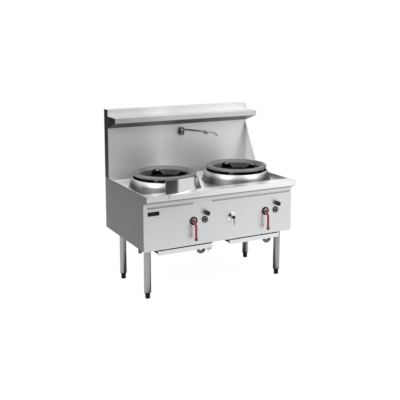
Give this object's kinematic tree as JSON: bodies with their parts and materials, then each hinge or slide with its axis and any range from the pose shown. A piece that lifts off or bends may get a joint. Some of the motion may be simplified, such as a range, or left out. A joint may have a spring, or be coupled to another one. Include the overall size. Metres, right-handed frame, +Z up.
{
  "type": "wok range",
  "caption": "Gas wok range: steel cabinet on tube legs, chimney rings with cast wok rings, splashback, pot shelf, swing faucet, levers and slide-out drip trays.",
  "frame": {"origin": "on the floor, under the middle of the whole object's box", "axes": "+X to the right seen from the front, +Y to the back, +Z up; the front with its levers faces -Y"},
  "size_m": [1.2, 0.78, 1.28],
  "materials": {
    "panel_steel": "satin, faint grain",
    "deck_steel": "satin, wiped with use",
    "tray_steel": "folded sheet, satin",
    "frame_steel": "dull galvanised angle",
    "leg_steel": "polished tube",
    "foot_plastic": "matt black moulding",
    "ring_steel": "spun, bright",
    "ring_iron": "cast, oiled, worn bright on the rim",
    "fire_iron": "cast, heat-blackened",
    "guard_steel": "polished sheet",
    "pipe_steel": "black steel pipe",
    "valve_brass": "machined",
    "bezel_steel": "turned, satin",
    "lever_red": "dark red enamel, gloss",
    "knob_black": "matt black",
    "button_black": "gloss black",
    "fitting_chrome": "mirror chrome",
    "water_copper": "drawn copper tube",
    "trap_cast": "rough casting",
    "plate_black": "black enamel, left blank",
    "screw_steel": "pan-head screws"
  },
  "bodies": {
    "range": {"front_panel": "panel_steel", "side_panel_left": "panel_steel", "side_panel_right": "panel_steel", "rear_panel": "panel_steel", "side_wing": "panel_steel", "deck": "deck_steel", "splashback": "deck_steel", "pot_shelf": "deck_steel", "tray_runners": "tray_steel", "base_frame": "frame_steel", "leg_spigots": "frame_steel", "leg_front_left": "leg_steel", "leg_front_right": "leg_steel", "leg_back_left": "leg_steel", "leg_back_right": "leg_steel", "chimney_ring_left": "ring_steel", "chimney_ring_right": "ring_steel", "fire_chamber_left": "fire_iron", "fire_chamber_right": "fire_iron", "burner_left": "fire_iron", "burner_right": "fire_iron", "gas_manifold": "pipe_steel", "supply_pipes": "pipe_steel", "gas_valve_left": "valve_brass", "gas_valve_right": "valve_brass", "pilot_valves": "valve_brass", "tap_valve": "valve_brass", "pilot_burners": "valve_brass", "bezel_left": "bezel_steel", "bezel_right": "bezel_steel", "igniters": "knob_black", "tap_escutcheon": "fitting_chrome", "faucet_body": "fitting_chrome", "water_inlet_pipe": "water_copper", "water_riser": "water_copper", "name_plate": "plate_black", "panel_screws": "screw_steel"},
    "foot_front_left": {"foot_front_left": "foot_plastic"},
    "foot_front_right": {"foot_front_right": "foot_plastic"},
    "foot_back_left": {"foot_back_left": "foot_plastic"},
    "foot_back_right": {"foot_back_right": "foot_plastic"},
    "wok_ring_left": {"wok_ring_left": "ring_iron"},
    "lever_left": {"lever_left": "lever_red"},
    "pilot_knob_left": {"pilot_knob_left": "knob_black"},
    "igniter_button_left": {"igniter_button_left": "button_black"},
    "drip_tray_left": {"drip_tray_left": "tray_steel", "drain_trap_left": "trap_cast", "drain_cock": "valve_brass"},
    "wok_ring_right": {"wok_ring_right": "ring_iron"},
    "lever_right": {"lever_right": "lever_red"},
    "pilot_knob_right": {"pilot_knob_right": "knob_black"},
    "igniter_button_right": {"igniter_button_right": "button_black"},
    "drip_tray_right": {"drip_tray_right": "tray_steel", "drain_trap_right": "trap_cast"},
    "splash_guard": {"splash_guard": "guard_steel"},
    "tap_lever": {"tap_lever": "fitting_chrome"},
    "faucet_arm_inner": {"faucet_arm_inner": "fitting_chrome"},
    "faucet_arm_outer": {"faucet_arm_outer": "fitting_chrome"},
    "cock_handle": {"cock_handle": "lever_red"}
  },
  "joints": [
    {"name": "foot_turn_front_left", "type": "hinge", "parent": "range", "child": "foot_front_left", "pos_m": [-0.525, -0.217, 0.03], "axis": [0, 0, 1], "continuous": true},
    {"name": "foot_turn_front_right", "type": "hinge", "parent": "range", "child": "foot_front_right", "pos_m": [0.557, -0.217, 0.03], "axis": [0, 0, 1], "continuous": true},
    {"name": "foot_turn_back_left", "type": "hinge", "parent": "range", "child": "foot_back_left", "pos_m": [-0.525, 0.238, 0.03], "axis": [0, 0, 1], "continuous": true},
    {"name": "foot_turn_back_right", "type": "hinge", "parent": "range", "child": "foot_back_right", "pos_m": [0.557, 0.238, 0.03], "axis": [0, 0, 1], "continuous": true},
    {"name": "wok_ring_lift_left", "type": "slide", "parent": "range", "child": "wok_ring_left", "axis": [0, 0, 1], "range_m": [0, 0.15]},
    {"name": "wok_ring_lift_right", "type": "slide", "parent": "range", "child": "wok_ring_right", "axis": [0, 0, 1], "range_m": [0, 0.15]},
    {"name": "splash_guard_lift", "type": "slide", "parent": "range", "child": "splash_guard", "axis": [0, 0, 1], "range_m": [0, 0.12]},
    {"name": "gas_lever_left", "type": "hinge", "parent": "range", "child": "lever_left", "pos_m": [-0.2225, -0.35, 0.548], "axis": [0, 1, 0], "range_deg": [0, 90]},
    {"name": "pilot_turn_left", "type": "hinge", "parent": "range", "child": "pilot_knob_left", "pos_m": [-0.124, -0.355, 0.597], "axis": [0, 1, 0], "range_deg": [0, 90]},
    {"name": "igniter_press_left", "type": "slide", "parent": "range", "child": "igniter_button_left", "axis": [0, 1, 0], "range_m": [0, 0.006], "stiffness_N_per_m": 400},
    {"name": "gas_lever_right", "type": "hinge", "parent": "range", "child": "lever_right", "pos_m": [0.3715, -0.35, 0.548], "axis": [0, 1, 0], "range_deg": [0, 90]},
    {"name": "pilot_turn_right", "type": "hinge", "parent": "range", "child": "pilot_knob_right", "pos_m": [0.47, -0.355, 0.597], "axis": [0, 1, 0], "range_deg": [0, 90]},
    {"name": "igniter_press_right", "type": "slide", "parent": "range", "child": "igniter_button_right", "axis": [0, 1, 0], "range_m": [0, 0.006], "stiffness_N_per_m": 400},
    {"name": "tap_turn", "type": "hinge", "parent": "range", "child": "tap_lever", "pos_m": [0.086, -0.36, 0.541], "axis": [0, 1, 0], "range_deg": [0, 90]},
    {"name": "faucet_swing", "type": "hinge", "parent": "range", "child": "faucet_arm_inner", "pos_m": [0.002, 0.289, 1.1], "axis": [0, 0, 1], "range_deg": [-90, 30]},
    {"name": "spout_swing", "type": "hinge", "parent": "faucet_arm_inner", "child": "faucet_arm_outer", "pos_m": [0.09671, 0.09043, 1.1], "axis": [0, 0, 1], "range_deg": [-70, 90]},
    {"name": "tray_slide_left", "type": "slide", "parent": "range", "child": "drip_tray_left", "axis": [0, -1, 0], "range_m": [0, 0.35]},
    {"name": "tray_slide_right", "type": "slide", "parent": "range", "child": "drip_tray_right", "axis": [0, -1, 0], "range_m": [0, 0.35]},
    {"name": "drain_turn", "type": "hinge", "parent": "drip_tray_left", "child": "cock_handle", "pos_m": [-0.072, -0.297, 0.3205], "axis": [1, 0, 0], "range_deg": [0, 90]}
  ]
}
